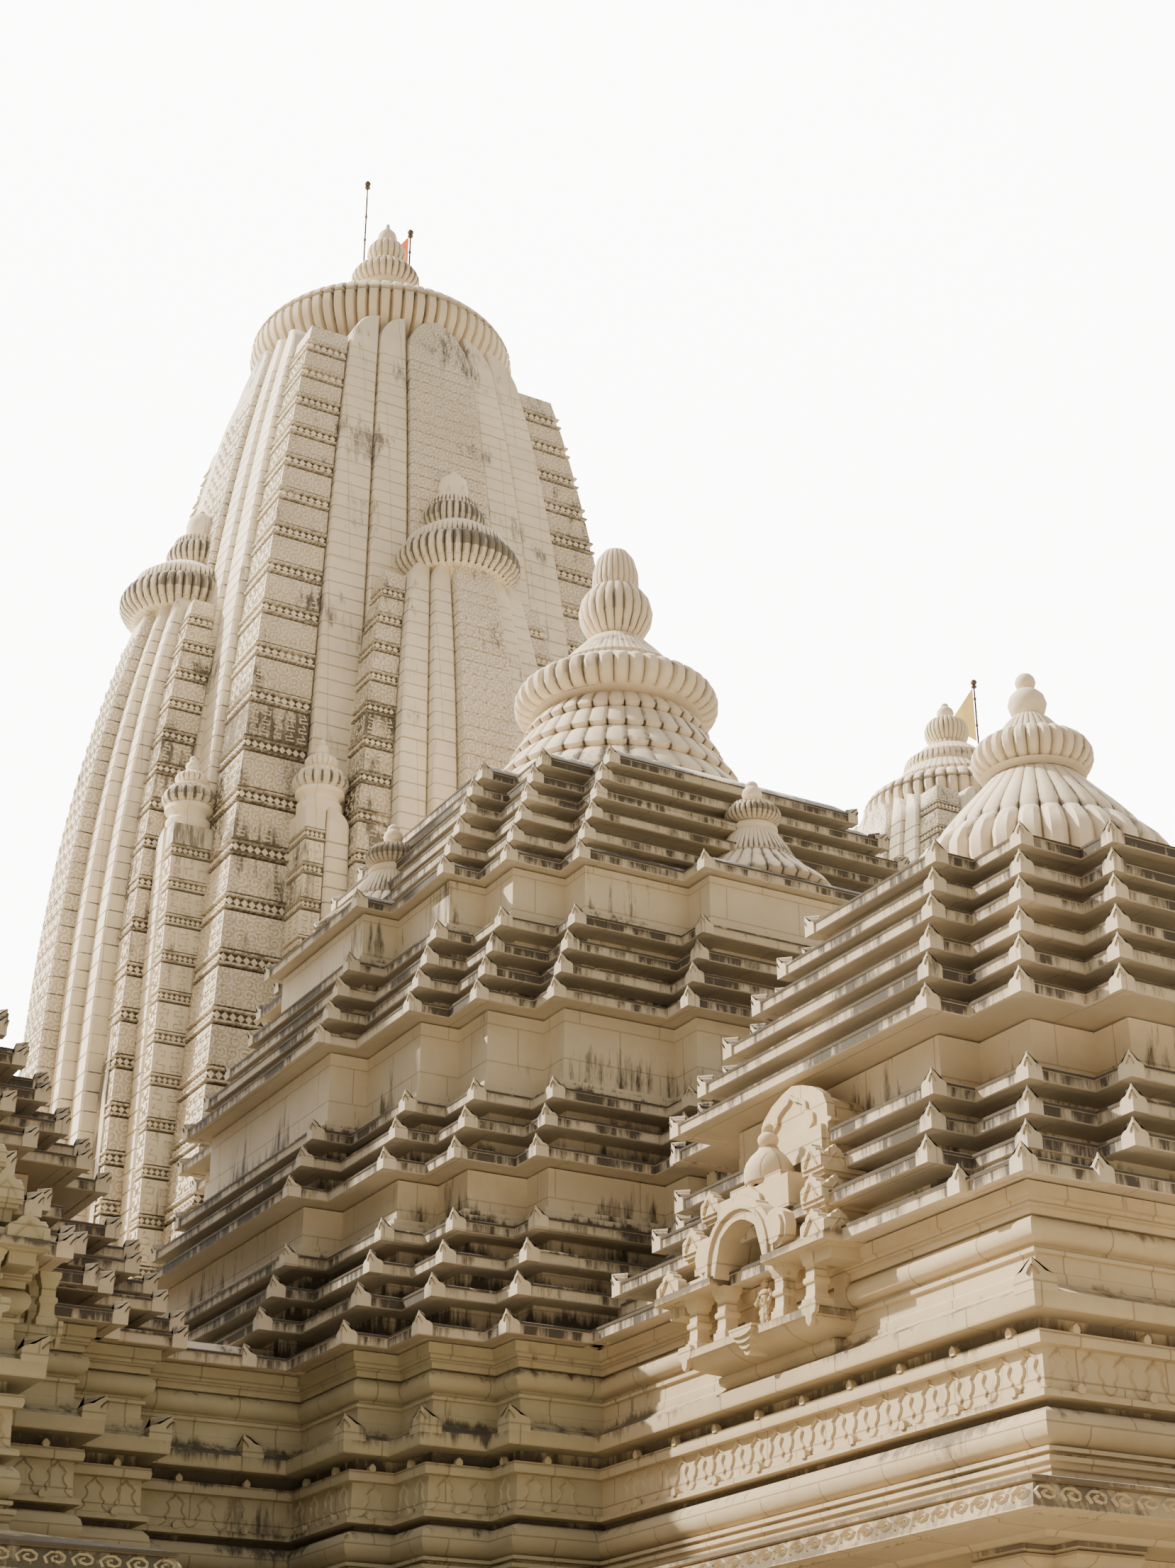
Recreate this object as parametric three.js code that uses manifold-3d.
// A stone Hindu temple in the Kalinga manner: a cross of stepped, pyramid-roofed halls round a
// middle hall, a tall curved tower behind it, and a smaller tower behind each side hall.
// Millimetres, +Z up, the front faces -Y, and the origin is on the ground under the middle hall.
import * as THREE from "three";
import { mergeVertices } from "three/addons/utils/BufferGeometryUtils.js";
import Module from "manifold-3d";

const wasm = await Module();
wasm.setup();

// Driving dimensions
const SEAT_GAP = 0.3;
const FLOOR_TOP = 450;
const SOFFIT = 4400;
const WALL_HEAD = 7360;

// Middle hall: outermost bay, its half width, and the corners that step back beside it
const MIDDLE_BAY_FACE = 6500;
const MIDDLE_BAY_HALF = 3220;
const MIDDLE_STEP_HALF = 4740;
const MIDDLE_STEP_FACE = 6000;
const MIDDLE_CORNER = 5490;
const MIDDLE_ROOM_HALF = 4500;
const MIDDLE_DOOR_HALF = 1500;

// The three porch halls in front and at the sides
const PORCH_HALF = 3740;
const PORCH_ROOM_HALF = 2750;
const FRONT_HALL_Y = -9350;
const SIDE_HALL_X = 11520;
const PASSAGE_HALF = 3240;
const PASSAGE_ROOM_HALF = 2100;
const PASSAGE_ROOF_TOP = 7760;

// Flat stone ceilings lie on the beams, with a closed attic above them
const CEILING_THICK = 300;
const ATTIC_FLOOR = SOFFIT + CEILING_THICK;

// Main tower
const TOWER_Y = 9570;
const TOWER_BASE_HALF = 4400;
const TOWER_BODY_TOP = 29600;
const TOWER_SHAFT_TOP = 30300;
const TOWER_WALL = 1200;
const SANCTUM_HALF = 2300;
const SANCTUM_DOOR_HALF = 1200;

// Side towers: a copy of the main tower's curve at this scale above the wall head
const SIDE_TOWER_Y = 6350;
const SIDE_TOWER_SCALE = 0.66;

const STONE = { color: 0xd8c6ad, roughness: 0.9, metalness: 0.0 };
const BRASS = { color: 0x8a7a66, roughness: 0.45, metalness: 0.8 };
const ORANGE_CLOTH = { color: 0xe8935f, roughness: 0.85, metalness: 0.0 };
const YELLOW_CLOTH = { color: 0xecc88c, roughness: 0.85, metalness: 0.0 };

// Solids: a loft joins outlines of equal point count, from the lowest up
function loftGeometry(sections) {
  const count = sections[0].outline.length;
  const positions = [];
  for (const { outline, z } of sections) {
    for (const [x, y] of outline) positions.push(x, y, z);
  }
  const faces = [];
  for (let level = 0; level + 1 < sections.length; level += 1) {
    for (let i = 0; i < count; i += 1) {
      const next = (i + 1) % count;
      const a = level * count + i;
      const b = level * count + next;
      faces.push(a, b, b + count, a, b + count, a + count);
    }
  }
  const capOf = ({ outline }) =>
    THREE.ShapeUtils.triangulateShape(outline.map(([x, y]) => new THREE.Vector2(x, y)), []);
  const topStart = (sections.length - 1) * count;
  for (const [a, b, c] of capOf(sections[0])) faces.push(a, c, b);
  for (const [a, b, c] of capOf(sections[sections.length - 1])) {
    faces.push(topStart + a, topStart + b, topStart + c);
  }
  const geometry = new THREE.BufferGeometry();
  geometry.setAttribute("position", new THREE.Float32BufferAttribute(positions, 3));
  geometry.setIndex(faces);
  return geometry;
}

function solidFrom(geometry) {
  const bare = geometry.clone();
  bare.deleteAttribute("normal");
  bare.deleteAttribute("uv");
  const merged = mergeVertices(bare, 1e-3);
  return new wasm.Manifold(new wasm.Mesh({
    numProp: 3,
    vertProperties: new Float32Array(merged.attributes.position.array),
    triVerts: new Uint32Array(merged.index.array),
  }));
}

const loft = (sections) => solidFrom(loftGeometry(sections));
const join = (solids) => solids.reduce((whole, solid) => whole.add(solid));

function box([x0, y0, z0], [x1, y1, z1]) {
  const geometry = new THREE.BoxGeometry(x1 - x0, y1 - y0, z1 - z0);
  geometry.translate((x0 + x1) / 2, (y0 + y1) / 2, (z0 + z1) / 2);
  return solidFrom(geometry);
}

// A turned piece: profile points are [radius, z] from the lower axis point to the upper one
function turned(profile, x, y, sides) {
  const geometry = new THREE.LatheGeometry(profile.map(([r, z]) => new THREE.Vector2(r, z)), sides);
  geometry.rotateX(Math.PI / 2);
  geometry.translate(x, y, 0);
  return solidFrom(geometry);
}

const temple = new THREE.Group();

function place(name, solid, look) {
  const { vertProperties, triVerts } = solid.getMesh();
  const geometry = new THREE.BufferGeometry();
  geometry.setAttribute("position", new THREE.Float32BufferAttribute(vertProperties, 3));
  geometry.setIndex(new THREE.Uint32BufferAttribute(triVerts, 1));
  geometry.computeVertexNormals();
  const mesh = new THREE.Mesh(geometry, new THREE.MeshStandardMaterial(look));
  mesh.name = name;
  temple.add(mesh);
}

// A plate whose outline is [sideways, height], standing square to -Y between two distances out
const upright = (outline, near, far) =>
  loft([{ outline, z: near }, { outline, z: far }]).rotate([90, 0, 0]);

// Outlines: the corners of one quarter, from the bay on the Y side to the bay on the X side,
// are mirrored into the whole plan
function wholePlan(quarter, x, y) {
  const back = [...quarter].reverse();
  return [
    ...back.map(([a, b]) => [x + a, y + b]),
    ...quarter.map(([a, b]) => [x - a, y + b]),
    ...back.map(([a, b]) => [x - a, y - b]),
    ...quarter.map(([a, b]) => [x + a, y - b]),
  ];
}

const middlePlan = (grow) => wholePlan([
  [MIDDLE_BAY_HALF, MIDDLE_BAY_FACE],
  [MIDDLE_BAY_HALF, MIDDLE_STEP_FACE],
  [MIDDLE_STEP_HALF, MIDDLE_STEP_FACE],
  [MIDDLE_STEP_HALF, MIDDLE_CORNER],
  [MIDDLE_CORNER, MIDDLE_CORNER],
  [MIDDLE_CORNER, MIDDLE_STEP_HALF],
  [MIDDLE_STEP_FACE, MIDDLE_STEP_HALF],
  [MIDDLE_STEP_FACE, MIDDLE_BAY_HALF],
  [MIDDLE_BAY_FACE, MIDDLE_BAY_HALF],
].map(([a, b]) => [a + grow, b + grow]), 0, 0);

// The same plan without its bays, for the topmost eaves
const middleTopPlan = (grow) => wholePlan([
  [MIDDLE_STEP_HALF, MIDDLE_STEP_FACE],
  [MIDDLE_STEP_HALF, MIDDLE_CORNER],
  [MIDDLE_CORNER, MIDDLE_CORNER],
  [MIDDLE_CORNER, MIDDLE_STEP_HALF],
  [MIDDLE_STEP_FACE, MIDDLE_STEP_HALF],
].map(([a, b]) => [a + grow, b + grow]), 0, 0);

const squarePlan = (half, x, y) => wholePlan([[half, half]], x, y);
const blockPlan = (halfX, halfY, x, y) => wholePlan([[halfX, halfY]], x, y);

// A porch roof's plan: a square with a shallow bay on each side
const BAY_STEP = 480;
const BAY_INSET = 760;
const porchRoofPlan = (half, x, y, bayStep = BAY_STEP) => wholePlan([
  [half - BAY_INSET, half + bayStep],
  [half - BAY_INSET, half],
  [half, half],
  [half, half - BAY_INSET],
  [half + bayStep, half - BAY_INSET],
], x, y);

// The entablature that runs round every block: [outward from the wall face, height]
const CORNICE_OUT = 1200;
const ENTABLATURE = [
  [0, SOFFIT],
  [CORNICE_OUT, SOFFIT],
  [CORNICE_OUT - 80, SOFFIT + 300],
  [-40, SOFFIT + 590],
  [-100, SOFFIT + 890],
  [20, SOFFIT + 940],
  [20, SOFFIT + 1130],
  [-60, SOFFIT + 1200],
  [-70, SOFFIT + 1620],
  [80, SOFFIT + 1900],
  [80, SOFFIT + 2030],
  [-110, SOFFIT + 2220],
  [-110, WALL_HEAD],
];
const entablature = (planAt, grow = 0) =>
  loft(ENTABLATURE.map(([out, z]) => ({ outline: planAt(out + grow), z })));

// Eaves: each tier is [height of its underside, outward shift]; a wall band stands between groups
const FASCIA = 200;
const EAVE_DEPTH = 400;
const EAVE_RISE = 420;
function eaveSections(planAt, tiers, topZ, bandShift) {
  const sections = [{ outline: planAt(tiers[0][1] - EAVE_DEPTH), z: tiers[0][0] }];
  tiers.forEach(([z, shift], i) => {
    const last = i + 1 === tiers.length;
    const nextZ = last ? topZ : tiers[i + 1][0];
    const inner = last ? bandShift : tiers[i + 1][1] - EAVE_DEPTH;
    sections.push({ outline: planAt(shift), z });
    sections.push({ outline: planAt(shift), z: z + FASCIA });
    if (last) sections.push({ outline: planAt(inner), z: Math.min(z + EAVE_RISE, nextZ - 100) });
    sections.push({ outline: planAt(inner), z: nextZ });
  });
  return sections;
}

// Middle hall roof groups: tiers, top of the band above them, and that band's shift
const MIDDLE_GROUPS = [
  { tiers: [[WALL_HEAD, 230], [7850, -30], [8290, -260], [8730, -480]], top: 9540, band: -800 },
  { tiers: [[9540, -470], [10000, -710], [10420, -920]], top: 11660, band: -1230 },
  { tiers: [[11660, -940], [12070, -1140], [12480, -1340], [12940, -1560]], top: 13900, band: -1870 },
];

// The top group: its first eave still has the bays, and the eaves above it run past them
const MIDDLE_TOP_EAVE = [13900, -1690];
const MIDDLE_TOP_TIERS = [
  [14280, -1870],
  [14720, -2110],
  [15120, -2280],
  [15500, -2460],
  [15940, -2740],
];
const MIDDLE_ROOF_TOP = 16260;
const MIDDLE_TOP_BAND = -3150;
const BAY_TERRACE = 14180;

// Porch roof levels: [height of the eave's underside, half width]
const PORCH_EAVE = [WALL_HEAD, 3930];
const PORCH_LOWER = [[7760, 3456], [8200, 3148], [8600, 2972]];
const PORCH_UPPER = [
  [9410, 3000],
  [9840, 2780],
  [10240, 2576],
  [10700, 2344],
  [11100, 2136],
  [11550, 1908],
];
const PORCH_BAND_TOP = 9410;
const PORCH_BAND_HALF = 2488;
const PORCH_ROOF_TOP = 11900;

// Tower body: half width of the corner bays at each height, measured to their outer faces
const TOWER_CURVE = [
  [WALL_HEAD, 4320],
  [14700, 4150],
  [19200, 3870],
  [23800, 3460],
  [27000, 3050],
  [TOWER_BODY_TOP, 2590],
];
// Each side of the tower steps out twice from the corner bay to the middle bay
const towerPlan = (half, x, y, grow = 0) => wholePlan([
  [0.27 * half + grow, 1.1 * half + grow],
  [0.27 * half + grow, 1.05 * half + grow],
  [0.72 * half + grow, 1.05 * half + grow],
  [0.72 * half + grow, half + grow],
  [half + grow, half + grow],
  [half + grow, 0.72 * half + grow],
  [1.05 * half + grow, 0.72 * half + grow],
  [1.05 * half + grow, 0.27 * half + grow],
  [1.1 * half + grow, 0.27 * half + grow],
], x, y);
const towerSections = (x, y, scale, grow = 0) => {
  const levels = TOWER_CURVE.map(([z, half]) => [WALL_HEAD + (z - WALL_HEAD) * scale, half * scale]);
  const [topZ, topHalf] = levels[levels.length - 1];
  levels.push([topZ + 420 * scale, topHalf * 0.9]);
  levels.push([topZ + (TOWER_SHAFT_TOP - TOWER_BODY_TOP) * scale, topHalf * 0.7]);
  return levels.map(([z, half]) => ({ outline: towerPlan(half, x, y, grow), z }));
};

// Half tower on a face of the main tower, built facing +Y: [height, half width, middle bay's face]
const HALF_TOWER_AXIS = 3800;
const HALF_TOWER_CURVE = [
  [WALL_HEAD, 2280, 5860],
  [14800, 2240, 5800],
  [17800, 2160, 5640],
  [20200, 2020, 5400],
  [22000, 1840, 5060],
  [23200, 1600, 4780],
  [23900, 1240, 4520],
];
const HALF_TOWER_CROWN = [
  [0, 23500], [700, 23500], [700, 24180], [1130, 24360], [1130, 24620], [620, 24880], [430, 25250],
  [620, 25440], [600, 25660], [240, 25860], [0, 26560],
];
function halfTowerPlan(half, face, grow) {
  const corner = face - 800 * (half / 2280);
  const strip = (face + corner) / 2;
  return [
    [half + grow, 0],
    [half + grow, corner + grow],
    [half * 0.7 + grow, corner + grow],
    [half * 0.7 + grow, strip + grow],
    [half * 0.36 + grow, strip + grow],
    [half * 0.36 + grow, face + grow],
    [-half * 0.36 - grow, face + grow],
    [-half * 0.36 - grow, strip + grow],
    [-half * 0.7 - grow, strip + grow],
    [-half * 0.7 - grow, corner + grow],
    [-half - grow, corner + grow],
    [-half - grow, 0],
  ];
}
function halfTower(turn, grow) {
  const body = loft(HALF_TOWER_CURVE.map(([z, half, face]) => ({
    outline: halfTowerPlan(half, face, grow),
    z,
  })));
  const profile = HALF_TOWER_CROWN.map(([r, z]) => [r === 0 ? 0 : r + grow, z]);
  return body.add(turned(profile, 0, HALF_TOWER_AXIS, 12)).rotate([0, 0, turn]).translate([0, TOWER_Y, 0]);
}

// Narrow turrets between the half towers and the corner bays
const TURRET_ALONG = 2780;
const TURRET_OUT = 4080;
const TURRET_HALF = 430;
const TURRET_CROWN = [
  [0, 18700], [320, 18700], [320, 19080], [490, 19220], [490, 19400], [240, 19560], [300, 19760], [0, 20080],
];
function turret(signX, signY, swap, grow) {
  const [x, y] = swap
    ? [signX * TURRET_OUT, signY * TURRET_ALONG]
    : [signX * TURRET_ALONG, signY * TURRET_OUT];
  const body = loft([
    { outline: squarePlan(TURRET_HALF + grow, x, TOWER_Y + y), z: WALL_HEAD },
    { outline: squarePlan(TURRET_HALF * 0.94 + grow, x, TOWER_Y + y), z: 16000 },
    { outline: squarePlan(TURRET_HALF * 0.8 + grow, x, TOWER_Y + y), z: 18800 },
  ]);
  return body.add(turned(TURRET_CROWN, x, TOWER_Y + y, 6));
}

const roomBox = (halfX, halfY, x, y, z0, z1) =>
  box([x - halfX, y - halfY, z0], [x + halfX, y + halfY, z1]);
const REACH = 30000;

// Whole blocks, a little larger by grow, that neighbours are cut back from
const middleBlock = (grow) => loft([
  { outline: middlePlan(grow), z: 0 },
  ...ENTABLATURE.map(([out, z]) => ({ outline: middlePlan(out + grow), z })),
]);
const middleRoofBlock = (grow) => join([
  ...MIDDLE_GROUPS.map(({ tiers, top, band }) =>
    loft(eaveSections((shift) => middlePlan(shift + grow), tiers, top, band))),
  middleTopGroup(grow),
]);
function middleTopGroup(grow) {
  const [eaveZ, shift] = MIDDLE_TOP_EAVE;
  const innerShift = MIDDLE_TOP_TIERS[0][1] - EAVE_DEPTH + grow;
  const terrace = loft([
    { outline: middlePlan(shift - EAVE_DEPTH + grow), z: eaveZ },
    { outline: middlePlan(shift + grow), z: eaveZ },
    { outline: middlePlan(shift + grow), z: eaveZ + FASCIA },
    { outline: middlePlan(shift - 200 + grow), z: BAY_TERRACE },
  ]);
  const tiers = eaveSections(
    (out) => middleTopPlan(out + grow), MIDDLE_TOP_TIERS, MIDDLE_ROOF_TOP, MIDDLE_TOP_BAND);
  return terrace.add(loft([{ outline: middleTopPlan(innerShift), z: eaveZ }, ...tiers]));
}

const towerBasePlan = (grow) => wholePlan([
  [820, 5860], [820, 5460], [1600, 5460], [1600, 5060], [2280, 5060], [2280, 4540], [3170, 4540],
  [3170, 4400], [TOWER_BASE_HALF, TOWER_BASE_HALF], [4400, 3170], [4540, 3170], [4540, 2280],
  [5060, 2280], [5060, 1600], [5460, 1600], [5460, 820], [5860, 820],
].map(([a, b]) => [a + grow, b + grow]), 0, TOWER_Y);

const HALF_TOWER_TURNS = { front: 180, right: 270, back: 0, left: 90 };
const towerShaftBlock = (grow) => join([
  loft(towerSections(0, TOWER_Y, 1, grow)),
  ...[-1, 1].flatMap((a) => [-1, 1].flatMap((b) => [turret(a, b, false, grow), turret(a, b, true, grow)])),
]);
const towerBodyBlock = (grow) => join([
  towerShaftBlock(grow),
  ...Object.values(HALF_TOWER_TURNS).map((turn) => halfTower(turn, grow)),
]);

// Side tower base: a square block with the same cornice
const SIDE_BASE_HALF = TOWER_BASE_HALF * SIDE_TOWER_SCALE;
const SIDE_SANCTUM_HALF = 1500;
const TOWER_ENTABLATURE = [
  [0, SOFFIT],
  [CORNICE_OUT, SOFFIT],
  [CORNICE_OUT, SOFFIT + 300],
  [0, SOFFIT + 560],
  [0, WALL_HEAD],
];

// Plinth and floor under every block
const PLINTH_OUT = 300;
function plinth() {
  const plans = [
    middlePlan(PLINTH_OUT),
    squarePlan(PORCH_HALF + PLINTH_OUT, 0, FRONT_HALL_Y),
    squarePlan(PORCH_HALF + PLINTH_OUT, -SIDE_HALL_X, 0),
    squarePlan(PORCH_HALF + PLINTH_OUT, SIDE_HALL_X, 0),
    blockPlan(SIDE_HALL_X, PASSAGE_HALF + PLINTH_OUT, 0, 0),
    towerBasePlan(PLINTH_OUT),
    squarePlan(SIDE_BASE_HALF + PLINTH_OUT, -SIDE_HALL_X, SIDE_TOWER_Y),
    squarePlan(SIDE_BASE_HALF + PLINTH_OUT, SIDE_HALL_X, SIDE_TOWER_Y),
  ];
  return join(plans.map((outline) => loft([{ outline, z: 0 }, { outline, z: FLOOR_TOP }])));
}

// Middle hall
function middleCornerWall(signX, signY) {
  const walls = loft([{ outline: middlePlan(0), z: FLOOR_TOP }, { outline: middlePlan(0), z: SOFFIT }]);
  const near = MIDDLE_DOOR_HALF;
  const far = 8000;
  const quarter = box(
    [signX > 0 ? near : -far, signY > 0 ? near : -far, 0],
    [signX > 0 ? far : -near, signY > 0 ? far : -near, REACH],
  );
  const room = roomBox(MIDDLE_ROOM_HALF, MIDDLE_ROOM_HALF, 0, 0, 0, REACH);
  return walls.intersect(quarter).subtract(room);
}

const atticBox = (halfX, halfY, x, y) => roomBox(halfX, halfY, x, y, ATTIC_FLOOR, REACH);
const middleEntablature = () => entablature(middlePlan)
  .subtract(atticBox(MIDDLE_ROOM_HALF, MIDDLE_ROOM_HALF, 0, 0));

const MIDDLE_ROOF_WALL = 1500;
function middleRoofGroup({ tiers, top, band }) {
  const shell = loft(eaveSections(middlePlan, tiers, top, band));
  const attic = MIDDLE_CORNER + Math.min(...tiers.map(([, shift]) => shift)) - MIDDLE_ROOF_WALL;
  return shell.subtract(roomBox(attic, attic, 0, 0, tiers[0][0] - 1, top + 1));
}

// A hollow that narrows upward
const taper = (x, y, half0, half1, z0, z1) => loft([
  { outline: squarePlan(half0, x, y), z: z0 },
  { outline: squarePlan(half1, x, y), z: z1 },
]);

const MIDDLE_CROWN = [
  [0, 16260], [2300, 16260], [2480, 16500], [1900, 17150], [1500, 17850], [1240, 18320], [1120, 18440],
  [1480, 18540], [1560, 18760], [1380, 19000], [800, 19400], [400, 19850], [560, 20150], [580, 20440],
  [360, 20820], [350, 21120], [0, 21620],
];

// Bell turret on each bay terrace: [radius, height above the terrace]
const BELL_TURRET_OUT = 3640;
const BELL_TURRET_SIDES = 9;
const BELL_TURRET = [
  [0, 0], [970, 0], [970, 60], [700, 300], [550, 560], [430, 780], [320, 1000], [390, 1180],
  [390, 1340], [140, 1460], [150, 1640], [80, 1690], [0, 1780],
];
const BELL_SOCKET = [
  [0, -SEAT_GAP], [980, -SEAT_GAP], [980, 70], [560, 570], [400, 1170], [400, 1800], [0, 1800],
];
const onTerrace = (profile, [x, y]) =>
  turned(profile.map(([r, z]) => [r, BAY_TERRACE + SEAT_GAP + z]), x, y, BELL_TURRET_SIDES);
const BELL_TURRET_SPOTS = {
  front: [0, -BELL_TURRET_OUT],
  left: [-BELL_TURRET_OUT, 0],
  right: [BELL_TURRET_OUT, 0],
};

// Porch halls
const COLUMN_SECTIONS = [
  [520, FLOOR_TOP],
  [520, 950],
  [400, 1050],
  [400, 3400],
  [620, 3800],
  [620, 4000],
];
const BEAM_BOTTOM = 4000;
const COLUMN_EDGE = PORCH_HALF - 640;
const COLUMN_ALONG = 1150;
const column = (x, y) =>
  loft(COLUMN_SECTIONS.map(([half, z]) => ({ outline: squarePlan(half, x, y), z })));
function porchColumns(x, y, openings) {
  const spots = [];
  for (const a of [-COLUMN_EDGE, COLUMN_EDGE]) {
    for (const b of [-COLUMN_EDGE, COLUMN_EDGE]) spots.push([a, b]);
  }
  for (const side of openings) {
    for (const along of [-COLUMN_ALONG, COLUMN_ALONG]) {
      if (side === "front") spots.push([along, -COLUMN_EDGE]);
      if (side === "left") spots.push([-COLUMN_EDGE, along]);
      if (side === "right") spots.push([COLUMN_EDGE, along]);
    }
  }
  const beam = roomBox(PORCH_HALF - 20, PORCH_HALF - 20, x, y, BEAM_BOTTOM, SOFFIT)
    .subtract(roomBox(PORCH_ROOM_HALF, PORCH_ROOM_HALF, x, y, 0, REACH));
  return join([beam, ...spots.map(([a, b]) => column(x + a, y + b))]);
}

const porchWallBlock = (x, y, grow = 0) =>
  entablature((out) => squarePlan(PORCH_HALF + out, x, y), grow);

const porchRoofSections = (x, y, eaves, top, topHalf) =>
  eaveSections((half) => porchRoofPlan(half, x, y), eaves, top, topHalf);

// Arched dormer over a balcony, on the third lower eave, built facing -Y
const DORMER_HALF = 500;
const DORMER_FOOT = 8540;
const DORMER_CROWN = 9320;
const DORMER_FACE = 3500;
const archOutline = (half, foot, crown) => {
  const spring = crown - half;
  return [
    [-half, foot],
    [half, foot],
    [half, spring],
    [half * 0.7, spring + half * 0.7],
    [0, crown],
    [-half * 0.7, spring + half * 0.7],
    [-half, spring],
  ];
};
const dormer = () =>
  upright(archOutline(DORMER_HALF, DORMER_FOOT, DORMER_CROWN), PORCH_BAND_HALF - 200, DORMER_FACE);

// Roof of a balcony under the first eave, built facing -Y, with an arch in its middle
const BALCONY_WALL = 3650;
const balconySlab = (half, out, z) => ({
  outline: [
    [-half, -BALCONY_WALL - out],
    [half, -BALCONY_WALL - out],
    [half, 200 - BALCONY_WALL],
    [-half, 200 - BALCONY_WALL],
  ],
  z,
});
const balconyRoof = () => join([
  loft([
    balconySlab(1460, 560, WALL_HEAD),
    balconySlab(1460, 560, WALL_HEAD + 110),
    balconySlab(1200, 400, WALL_HEAD + 200),
    balconySlab(1200, 400, WALL_HEAD + 500),
    balconySlab(600, 300, WALL_HEAD + 820),
  ]),
  upright(archOutline(620, WALL_HEAD, 8060), BALCONY_WALL, BALCONY_WALL + 480),
  turned([
    [0, 8120], [330, 8120], [370, 8400], [230, 8650], [110, 8760], [0, 8950],
  ], 0, -BALCONY_WALL - 120, 8),
]);
const BALCONY_ARCH_HALF = 400;
const balconyNiche = () => upright(
  archOutline(BALCONY_ARCH_HALF, WALL_HEAD - 1, 7900), BALCONY_WALL + 150, BALCONY_WALL + 700);

function porchRoofLower(x, y, balconyTurns) {
  const [eaveZ, eaveHalf] = PORCH_EAVE;
  const eaveOutline = (half) => porchRoofPlan(half, x, y, 60);
  const edge = loft([
    { outline: eaveOutline(eaveHalf), z: eaveZ },
    { outline: eaveOutline(eaveHalf), z: eaveZ + FASCIA },
    { outline: eaveOutline(eaveHalf - 500), z: eaveZ + FASCIA + 110 },
    { outline: eaveOutline(eaveHalf - 500), z: PORCH_LOWER[0][0] + 20 },
  ]);
  const tiers = loft(porchRoofSections(x, y, PORCH_LOWER, PORCH_BAND_TOP, PORCH_BAND_HALF));
  const onWall = (solid, turn) => solid.rotate([0, 0, turn]).translate([x, y, 0]);
  const bays = balconyTurns.map((turn) => onWall(dormer().add(balconyRoof()), turn));
  const niches = join(balconyTurns.map((turn) => onWall(balconyNiche(), turn)));
  return join([edge, tiers, ...bays]).subtract(niches);
}
const PORCH_ROOF_TOP_HALF = 1500;
const porchRoofUpper = (x, y) =>
  loft(porchRoofSections(x, y, PORCH_UPPER, PORCH_ROOF_TOP, PORCH_ROOF_TOP_HALF));

const PORCH_CROWN = [
  [0, 11900], [1280, 11900], [1440, 12120], [1280, 12560], [960, 13000], [680, 13440], [600, 13540],
  [690, 13660], [690, 13860], [420, 14040], [150, 14260], [208, 14440], [70, 14640], [120, 14720],
  [0, 14850],
];

// Balcony under the first eave of a porch, built facing -Y round the middle of the wall
const BALCONY_FOOT = 6550;
const BALCONY_FLOOR = 6850;
const BALCONY_POST = 95;
const BALCONY_POSTS = [-1000, -495, 495, 1000];
const BALCONY_POST_OUT = 3970;
function balcony(turn, x, y) {
  const corbel = loft([
    balconySlab(980, 120, BALCONY_FOOT),
    balconySlab(980, 120, BALCONY_FOOT + 70),
    balconySlab(1130, 450, BALCONY_FLOOR - 90),
    balconySlab(1130, 450, BALCONY_FLOOR),
  ]);
  const posts = BALCONY_POSTS.map((along) => box(
    [along - BALCONY_POST, -BALCONY_POST_OUT - BALCONY_POST, BALCONY_FLOOR - 20],
    [along + BALCONY_POST, -BALCONY_POST_OUT + BALCONY_POST, WALL_HEAD - SEAT_GAP],
  ));
  return join([corbel, ...posts])
    .rotate([0, 0, turn])
    .translate([x, y, 0])
    .subtract(porchWallBlock(x, y, SEAT_GAP));
}

const sideTowerShaft = (x, grow = 0) =>
  loft(towerSections(x, SIDE_TOWER_Y, SIDE_TOWER_SCALE, grow));
const sideTowerBase = (x) => loft([[0, FLOOR_TOP], ...TOWER_ENTABLATURE].map(([out, z]) => ({
  outline: squarePlan(SIDE_BASE_HALF + out, x, SIDE_TOWER_Y),
  z,
})));

const MAIN_CROWN = [
  [0, TOWER_SHAFT_TOP], [1840, TOWER_SHAFT_TOP], [1840, 30420], [2500, 30620], [2720, 30900], [2720, 31120], [2400, 31460],
  [1700, 32000], [560, 33000], [720, 33260], [690, 33480], [260, 33700], [360, 34020], [230, 34640],
  [0, 34920],
];
const SIDE_SHAFT_TOP = WALL_HEAD + (TOWER_SHAFT_TOP - WALL_HEAD) * SIDE_TOWER_SCALE;
const SIDE_CROWN = [
  [0, SIDE_SHAFT_TOP], [1215, SIDE_SHAFT_TOP], [1215, 22580], [1640, 22690], [1830, 22860],
  [1800, 23020], [1180, 23440], [560, 23800], [340, 23960], [500, 24080], [480, 24210], [130, 24350],
  [200, 24550], [80, 24710], [0, 24830],
];

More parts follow.
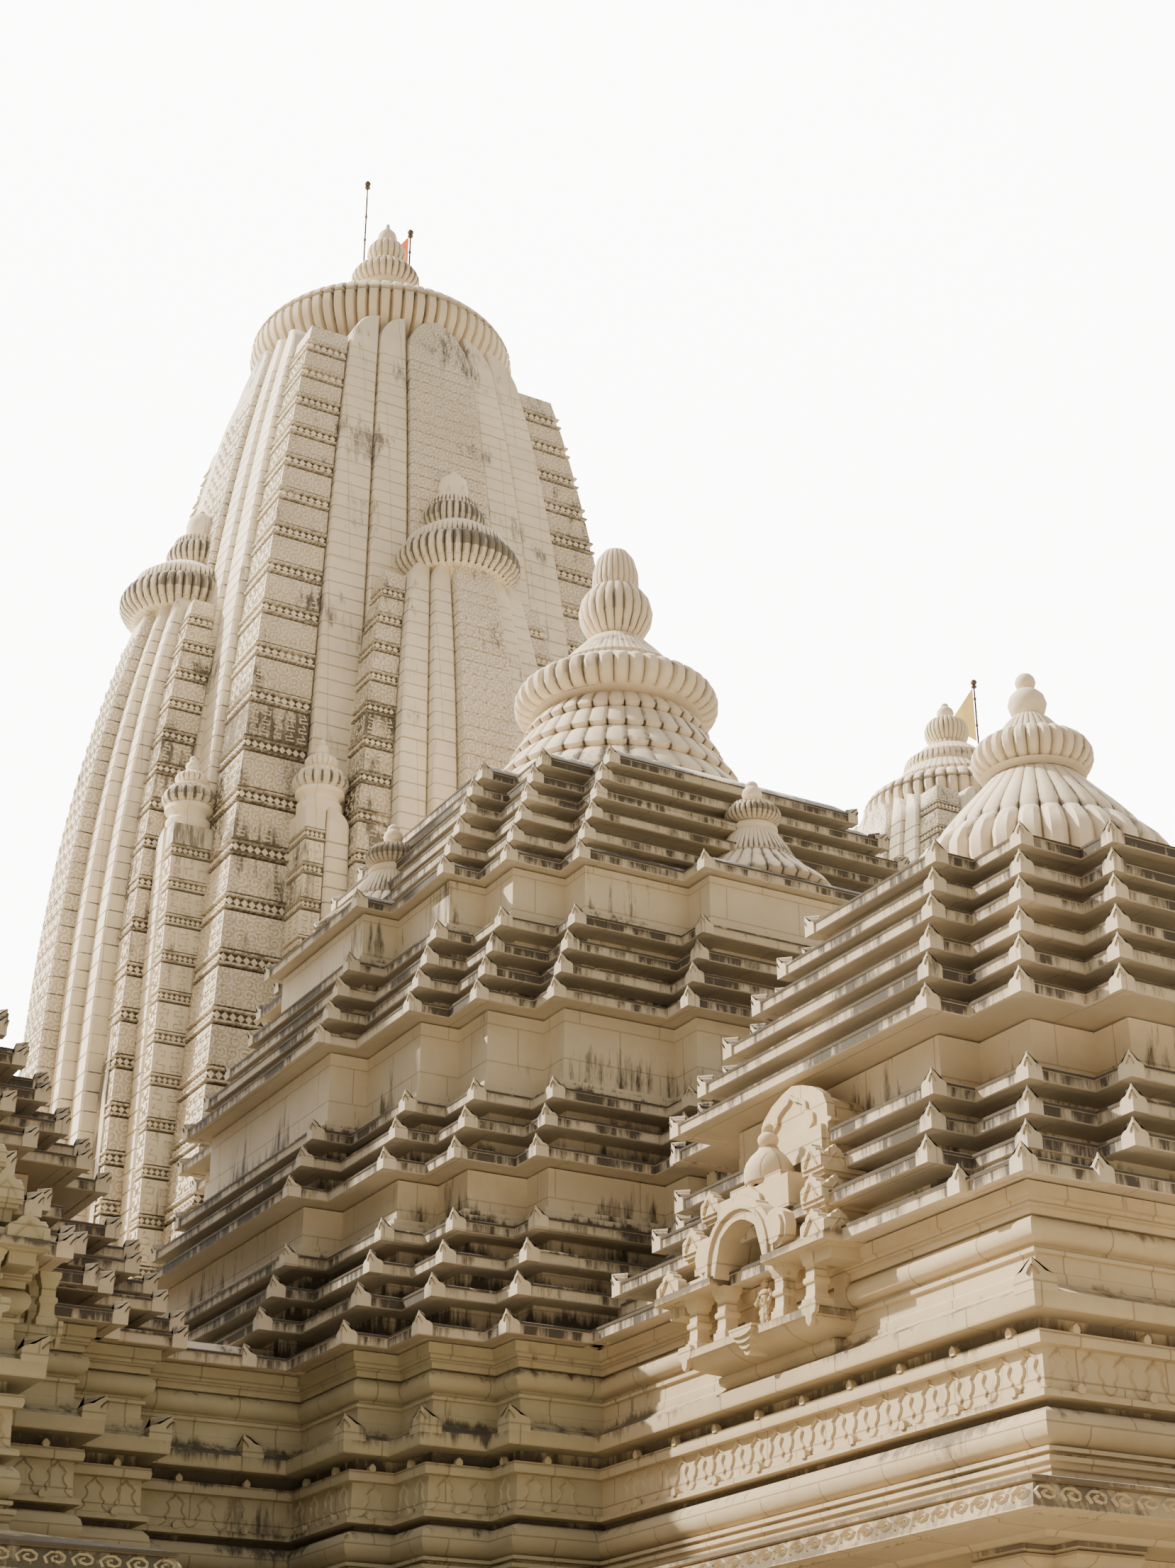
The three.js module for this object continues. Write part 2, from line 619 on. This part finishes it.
// Poles and pennants on the crowns; a pennant points along its turn, away from its pole
const POLE_RADIUS = 30;
const POLE_BALL = 75;
const POLE_SIDES = 8;
const pole = ([x, y], z0, z1) => turned([
  [0, z0],
  [POLE_RADIUS, z0],
  [POLE_RADIUS, z1 - 2 * POLE_BALL],
  [POLE_BALL, z1 - 1.4 * POLE_BALL],
  [POLE_BALL, z1 - 0.6 * POLE_BALL],
  [0, z1],
], x, y, POLE_SIDES);
const PENNANT_TURN = 157.5;
const PENNANT_THICK = 12;
function pennant([x, y], top, bottom, tip, length) {
  const edge = POLE_RADIUS * Math.cos(Math.PI / POLE_SIDES) + SEAT_GAP;
  const outline = [[edge, bottom], [length, tip], [edge, top]];
  return upright(outline, -PENNANT_THICK / 2, PENNANT_THICK / 2)
    .rotate([0, 0, PENNANT_TURN])
    .translate([x, y, 0]);
}
const TOWER_POLE = [-420, 9800];
const TOWER_FLAG_POLE = [590, 9700];
const SIDE_FLAG_POLE = [12270, 6270];

// The crowns, a little larger by grow, that the poles are cut back from
const crown = (profile, x, y, sides, grow = 0) => turned(
  profile.map(([r, z]) => [r === 0 ? 0 : r + grow, z]),
  x,
  y,
  sides,
);

place("plinth", plinth(), STONE);
for (const [sideX, signX] of [["left", -1], ["right", 1]]) {
  for (const [sideY, signY] of [["front", -1], ["back", 1]]) {
    place(`middle_hall_wall_${sideY}_${sideX}`, middleCornerWall(signX, signY), STONE);
  }
}
place("middle_hall_entablature", middleEntablature(), STONE);
const towerCut = towerBodyBlock(SEAT_GAP);
["lowest", "second", "third"].forEach((level, index) => {
  const group = middleRoofGroup(MIDDLE_GROUPS[index]).subtract(towerCut);
  place(`middle_hall_roof_${level}_tiers`, group, STONE);
});
const turretSockets = join(Object.values(BELL_TURRET_SPOTS).map((spot) => onTerrace(BELL_SOCKET, spot)));
place("middle_hall_roof_top_tiers", middleTopGroup(0)
  .subtract(taper(0, 0, 1700, 900, MIDDLE_TOP_EAVE[0] - 1, 15500))
  .subtract(towerCut)
  .subtract(turretSockets), STONE);
for (const [side, spot] of Object.entries(BELL_TURRET_SPOTS)) {
  place(`middle_hall_${side}_bell_turret`, onTerrace(BELL_TURRET, spot), STONE);
}
place("middle_hall_crown", turned(MIDDLE_CROWN, 0, 0, 20), STONE);

// Cuts that the porches and the passages take from the blocks they run into
const middleCut = middleBlock(SEAT_GAP);
const middleRoofCut = middleRoofBlock(SEAT_GAP);

// Front hall
const FRONT_TURNS = { front: 0, left: 270, right: 90 };
const frontWay = box([-PORCH_ROOM_HALF, FRONT_HALL_Y, 0], [PORCH_ROOM_HALF, 0, REACH]);
const frontAttic = box([-PORCH_ROOM_HALF, FRONT_HALL_Y, ATTIC_FLOOR], [PORCH_ROOM_HALF, 0, REACH])
  .add(atticBox(PORCH_ROOM_HALF, PORCH_ROOM_HALF, 0, FRONT_HALL_Y));
place("front_hall_columns", porchColumns(0, FRONT_HALL_Y, ["front", "left", "right"])
  .subtract(frontWay)
  .subtract(middleCut), STONE);
place("front_hall_entablature", porchWallBlock(0, FRONT_HALL_Y)
  .subtract(frontAttic)
  .subtract(middleCut), STONE);
place("front_hall_roof_lower_tiers", porchRoofLower(0, FRONT_HALL_Y, Object.values(FRONT_TURNS))
  .subtract(taper(0, FRONT_HALL_Y, 2300, 1700, WALL_HEAD - 1, PORCH_BAND_TOP + 1))
  .subtract(middleRoofCut), STONE);
place("front_hall_roof_upper_tiers", porchRoofUpper(0, FRONT_HALL_Y)
  .subtract(taper(0, FRONT_HALL_Y, 1700, 900, PORCH_BAND_TOP - 1, 11300))
  .subtract(middleRoofCut), STONE);
place("front_hall_crown", turned(PORCH_CROWN, 0, FRONT_HALL_Y, 14), STONE);
for (const [side, turn] of Object.entries(FRONT_TURNS)) {
  place(`front_hall_balcony_${side}`, balcony(turn, 0, FRONT_HALL_Y), STONE);
}

// Side halls, the passages to them, and the towers behind them
const SIDE_DOOR_HALF = 900;
const SIDE_SHAFT_WALL = 800;
for (const [side, sign] of [["left", -1], ["right", 1]]) {
  const x = sign * SIDE_HALL_X;
  const turns = { front: 0, outer: sign > 0 ? 90 : 270 };
  const passageWalls = [-1, 1].map((end) => {
    const y0 = end > 0 ? PASSAGE_ROOM_HALF : -PASSAGE_HALF;
    const hallEnd = SIDE_HALL_X - PORCH_HALF + 300;
    const ends = [sign * MIDDLE_BAY_FACE, sign * hallEnd].sort((a, b) => a - b);
    return box([ends[0], y0, FLOOR_TOP], [ends[1], y0 + PASSAGE_HALF - PASSAGE_ROOM_HALF, SOFFIT]);
  });
  const passageWay = roomBox(SIDE_HALL_X / 2, PASSAGE_ROOM_HALF, x / 2, 0, 0, REACH);
  place(`${side}_hall_columns`, join([porchColumns(x, 0, ["front", side]), ...passageWalls])
    .subtract(passageWay)
    .subtract(middleCut), STONE);
  const passage = entablature((out) => blockPlan(SIDE_HALL_X / 2, PASSAGE_HALF + out, x / 2, 0));
  const attic = atticBox(PORCH_ROOM_HALF, PORCH_ROOM_HALF, x, 0)
    .add(atticBox(SIDE_HALL_X / 2, PASSAGE_ROOM_HALF, x / 2, 0));
  place(`${side}_hall_entablature`, porchWallBlock(x, 0).add(passage)
    .subtract(attic)
    .subtract(middleCut), STONE);
  const passageEave = loft([
    { outline: blockPlan(SIDE_HALL_X / 2, PASSAGE_HALF + 190, x / 2, 0), z: WALL_HEAD },
    { outline: blockPlan(SIDE_HALL_X / 2, PASSAGE_HALF + 190, x / 2, 0), z: WALL_HEAD + FASCIA },
    { outline: blockPlan(SIDE_HALL_X / 2, PASSAGE_HALF - 400, x / 2, 0), z: PASSAGE_ROOF_TOP },
  ]);
  const tiers = porchRoofLower(x, 0, Object.values(turns)).add(porchRoofUpper(x, 0));
  place(`${side}_hall_roof`, tiers.add(passageEave)
    .subtract(taper(x, 0, 2300, 900, WALL_HEAD - 1, 11300))
    .subtract(middleRoofCut)
    .subtract(sideTowerShaft(x, SEAT_GAP)), STONE);
  place(`${side}_hall_crown`, turned(PORCH_CROWN, x, 0, 14), STONE);
  for (const [face, turn] of Object.entries(turns)) {
    place(`${side}_hall_balcony_${face}`, balcony(turn, x, 0), STONE);
  }
  const sanctum = roomBox(SIDE_SANCTUM_HALF, SIDE_SANCTUM_HALF, x, SIDE_TOWER_Y, 0, SOFFIT)
    .add(box([x - SIDE_DOOR_HALF, 0, 0], [x + SIDE_DOOR_HALF, SIDE_TOWER_Y, BEAM_BOTTOM]));
  place(`${side}_tower_base`, sideTowerBase(x)
    .subtract(sanctum)
    .subtract(atticBox(SIDE_SANCTUM_HALF, SIDE_SANCTUM_HALF, x, SIDE_TOWER_Y))
    .subtract(porchWallBlock(x, 0, SEAT_GAP))
    .subtract(roomBox(PORCH_HALF + 1, PORCH_HALF + 1, x, 0, 0, SOFFIT)), STONE);
  const inner = SIDE_BASE_HALF - SIDE_SHAFT_WALL;
  place(`${side}_tower_shaft`, sideTowerShaft(x).subtract(loft([
    { outline: squarePlan(inner, x, SIDE_TOWER_Y), z: WALL_HEAD - 1 },
    { outline: squarePlan(inner * 0.7, x, SIDE_TOWER_Y), z: 16000 },
    { outline: squarePlan(inner * 0.25, x, SIDE_TOWER_Y), z: 20500 },
  ])), STONE);
  place(`${side}_tower_crown`, turned(SIDE_CROWN, x, SIDE_TOWER_Y, 14), STONE);
}
place("right_tower_flag_pole", pole(SIDE_FLAG_POLE, 23400, 25560)
  .subtract(crown(SIDE_CROWN, SIDE_HALL_X, SIDE_TOWER_Y, 14, SEAT_GAP)), BRASS);
place("right_tower_flag", pennant(SIDE_FLAG_POLE, 25350, 24150, 24600, 600), YELLOW_CLOTH);

// Main tower
const towerBase = loft([{ outline: towerBasePlan(0), z: FLOOR_TOP }, { outline: towerBasePlan(0), z: SOFFIT }])
  .subtract(middleCut)
  .subtract(roomBox(SANCTUM_HALF, SANCTUM_HALF, 0, TOWER_Y, 0, REACH))
  .subtract(box([-SANCTUM_DOOR_HALF, 0, 0], [SANCTUM_DOOR_HALF, TOWER_Y, REACH]));
const farLeft = box([-REACH, 0, 0], [-SANCTUM_HALF, REACH, REACH]);
const farRight = box([SANCTUM_HALF, 0, 0], [REACH, REACH, REACH]);
place("tower_base_left", towerBase.intersect(
  farLeft.add(box([-REACH, 0, 0], [0, TOWER_Y, REACH]))), STONE);
place("tower_base_right", towerBase.intersect(
  farRight.add(box([0, 0, 0], [REACH, TOWER_Y, REACH]))), STONE);
place("tower_base_back", towerBase.intersect(
  box([-SANCTUM_HALF, TOWER_Y, 0], [SANCTUM_HALF, REACH, REACH])), STONE);
place("tower_entablature", loft(TOWER_ENTABLATURE.map(([out, z]) => ({ outline: towerBasePlan(out), z })))
  .subtract(middleCut)
  .subtract(atticBox(SANCTUM_HALF, SANCTUM_HALF, 0, TOWER_Y)), STONE);
place("tower_shaft", towerShaftBlock(0).subtract(loft([
  { outline: squarePlan(TOWER_BASE_HALF - TOWER_WALL, 0, TOWER_Y), z: WALL_HEAD - 1 },
  { outline: squarePlan(3000, 0, TOWER_Y), z: 16000 },
  { outline: squarePlan(2100, 0, TOWER_Y), z: 24000 },
  { outline: squarePlan(900, 0, TOWER_Y), z: 28500 },
])), STONE);
const shaftCut = towerShaftBlock(SEAT_GAP);
for (const [face, turn] of Object.entries(HALF_TOWER_TURNS)) {
  place(`tower_${face}_half_tower`, halfTower(turn, 0).subtract(shaftCut), STONE);
}
place("tower_crown", crown(MAIN_CROWN, 0, TOWER_Y, 20), STONE);
const crownCut = crown(MAIN_CROWN, 0, TOWER_Y, 20, SEAT_GAP);
place("tower_pole", pole(TOWER_POLE, 33400, 36080).subtract(crownCut), BRASS);
place("tower_flag_pole", pole(TOWER_FLAG_POLE, 33400, 35100).subtract(crownCut), BRASS);
place("tower_flag", pennant(TOWER_FLAG_POLE, 34900, 34150, 34300, 480), ORANGE_CLOTH);

export default temple;
